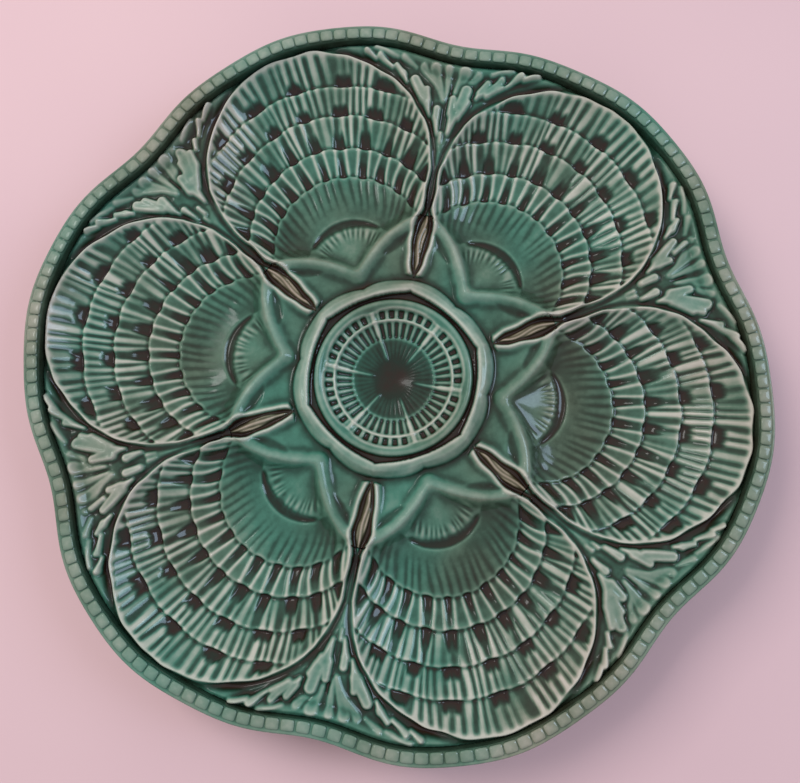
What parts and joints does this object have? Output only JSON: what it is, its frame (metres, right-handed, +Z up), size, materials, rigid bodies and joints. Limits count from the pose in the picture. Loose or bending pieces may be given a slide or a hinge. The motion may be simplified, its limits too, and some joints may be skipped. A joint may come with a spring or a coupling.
{
  "type": "oyster plate",
  "caption": "Lobed earthenware plate with scallop shell wells round a fluted sauce well, leaf sprays and buds between them and a beaded rim.",
  "frame": {"origin": "centre of the plate, on the plane that the foot ring stands on", "axes": "+Z up through the open side of the wells; a shell well lies on +Y and one on -Y, a rim notch on +X and one on -X"},
  "size_m": [0.2344, 0.2448, 0.026],
  "materials": {
    "green_glaze": "glossy lead-style glaze, pooled dark in the hollows and pale on the ridges",
    "shell_glaze": "glossy lead-style glaze, pooled dark in the hollows and pale on the ridges",
    "leaf_glaze": "glossy lead-style glaze, pooled dark in the hollows and pale on the ridges",
    "bud_glaze": "glossy lead-style glaze, pooled dark in the hollows and pale on the ridges",
    "rim_glaze": "glossy lead-style glaze, pooled dark in the hollows and pale on the ridges",
    "collar_glaze": "glossy lead-style glaze, pooled dark in the hollows and pale on the ridges",
    "sauce_glaze": "glossy lead-style glaze, pooled dark in the hollows and pale on the ridges",
    "back_glaze": "glossy lead-style glaze, pooled dark in the hollows and pale on the ridges"
  },
  "bodies": {
    "root": {"plate_body": "green_glaze", "foot_ring": "back_glaze", "rim_border": "rim_glaze", "rim_beading": "rim_glaze", "centre_collar": "collar_glaze", "sauce_well": "sauce_glaze", "shell_well_1": "shell_glaze", "leaf_spray_1": "leaf_glaze", "bud_1": "bud_glaze", "shell_well_2": "shell_glaze", "leaf_spray_2": "leaf_glaze", "bud_2": "bud_glaze", "shell_well_3": "shell_glaze", "leaf_spray_3": "leaf_glaze", "bud_3": "bud_glaze", "shell_well_4": "shell_glaze", "leaf_spray_4": "leaf_glaze", "bud_4": "bud_glaze", "shell_well_5": "shell_glaze", "leaf_spray_5": "leaf_glaze", "bud_5": "bud_glaze", "shell_well_6": "shell_glaze", "leaf_spray_6": "leaf_glaze", "bud_6": "bud_glaze"}
  },
  "joints": []
}
